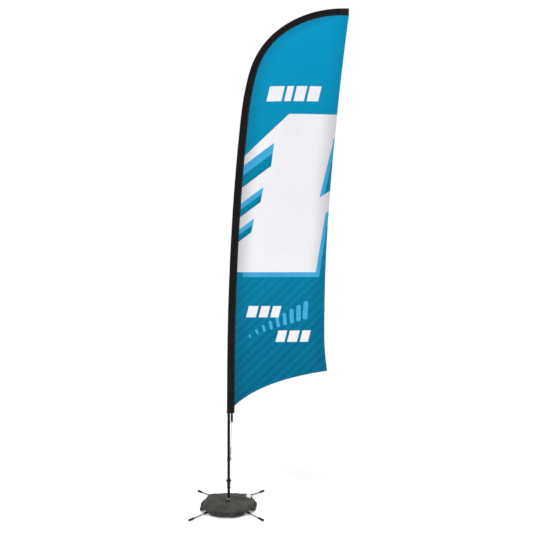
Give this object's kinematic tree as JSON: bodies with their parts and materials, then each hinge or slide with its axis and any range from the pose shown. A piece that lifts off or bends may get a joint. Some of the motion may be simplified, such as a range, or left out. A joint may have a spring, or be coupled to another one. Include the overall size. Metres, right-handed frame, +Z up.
{
  "type": "feather flag",
  "caption": "Free-standing feather flag: bent mast in a dark sleeve with a printed sail, turning on a bearing swivel above a folding cross base with a water-filled weight ring.",
  "frame": {"origin": "on the floor, on the mast's vertical axis, under the centre foot", "axes": "+Z up along the mast, +X from the mast towards the sail's free edge, +Y to the back"},
  "size_m": [1.243, 0.57, 3.9618],
  "materials": {
    "rubber": "matte moulded",
    "zinc": "zinc plated",
    "black_steel": "satin black powder coat",
    "bearing_steel": "ground",
    "leg_rod": "grey enamel",
    "bag": "satin coated cloth",
    "black_plastic": "fine moulded grain",
    "cage": "pressed",
    "pole_alloy": "black anodised",
    "pole_glass": "glass-fibre tube",
    "ring_alloy": "satin",
    "sleeve": "woven polyester",
    "sail": "printed knitted polyester",
    "webbing": "woven",
    "elastic": "braided cover",
    "cap": "moulded"
  },
  "bodies": {
    "base": {"center_foot": "rubber", "pivot_bolt": "zinc", "lower_arm": "black_steel", "lower_arm_rivets": "zinc", "arm_spacer": "zinc", "hub_washer": "zinc", "hub_nut": "zinc", "post": "black_steel", "lock_collar": "zinc", "bearing_housing": "black_steel", "bearing_outer_rings": "bearing_steel", "bearing_spacer": "zinc", "bearing_retainer": "zinc", "leg_front_left": "leg_rod", "leg_rear_right": "leg_rod", "leg_tip_front_left": "rubber", "leg_tip_rear_right": "rubber", "water_bag": "bag", "filler_neck": "black_plastic", "bearing_balls": "bearing_steel", "bearing_cages": "cage"},
    "folding_arm": {"upper_arm": "black_steel", "upper_arm_rivets": "zinc", "leg_front_right": "leg_rod", "leg_rear_left": "leg_rod", "leg_tip_front_right": "rubber", "leg_tip_rear_left": "rubber"},
    "spindle": {"bearing_inner_rings": "bearing_steel", "spindle_shaft": "bearing_steel", "spindle_flange": "black_plastic", "spindle_o_rings": "rubber", "spindle_circlip": "zinc"},
    "mast": {"pole_foot": "black_plastic", "pole_section_1": "pole_alloy", "pole_section_2": "pole_alloy", "pole_section_3": "pole_glass", "pole_section_4": "pole_glass", "pole_ring_1": "ring_alloy", "pole_ring_2": "ring_alloy", "pole_ring_3": "ring_alloy", "tip_cap": "rubber", "pole_sleeve": "sleeve", "tip_pocket": "sleeve", "flag_panel": "sail", "tension_strap": "webbing", "tension_ring": "zinc", "tension_cord": "elastic", "tension_collar": "black_plastic"},
    "cap_carrier": {"cap_seal": "rubber"},
    "cap": {"filler_cap": "cap"}
  },
  "joints": [
    {"name": "arm_fold", "type": "hinge", "parent": "base", "child": "folding_arm", "pos_m": [0, 0, 0.0308], "axis": [0, 0, 1], "range_deg": [0, 65]},
    {"name": "mast_swivel", "type": "hinge", "parent": "base", "child": "spindle", "pos_m": [0, 0, 0.15], "axis": [0, 0, 1], "continuous": true},
    {"name": "mast_lift", "type": "slide", "parent": "spindle", "child": "mast", "axis": [0, 0, 1], "range_m": [0, 0.14]},
    {"name": "cap_lift", "type": "slide", "parent": "base", "child": "cap_carrier", "axis": [0.3319, 0.0827, 0.9397], "range_m": [0, 0.006]},
    {"name": "cap_turn", "type": "hinge", "parent": "cap_carrier", "child": "cap", "pos_m": [0.15525, 0.03871, 0.052], "axis": [0.3319, 0.0827, 0.9397], "range_deg": [0, 720]}
  ],
  "couplings": [
    {"joint": "cap_lift", "follows": "cap_turn", "m_per_rad": 0.00047746}
  ]
}
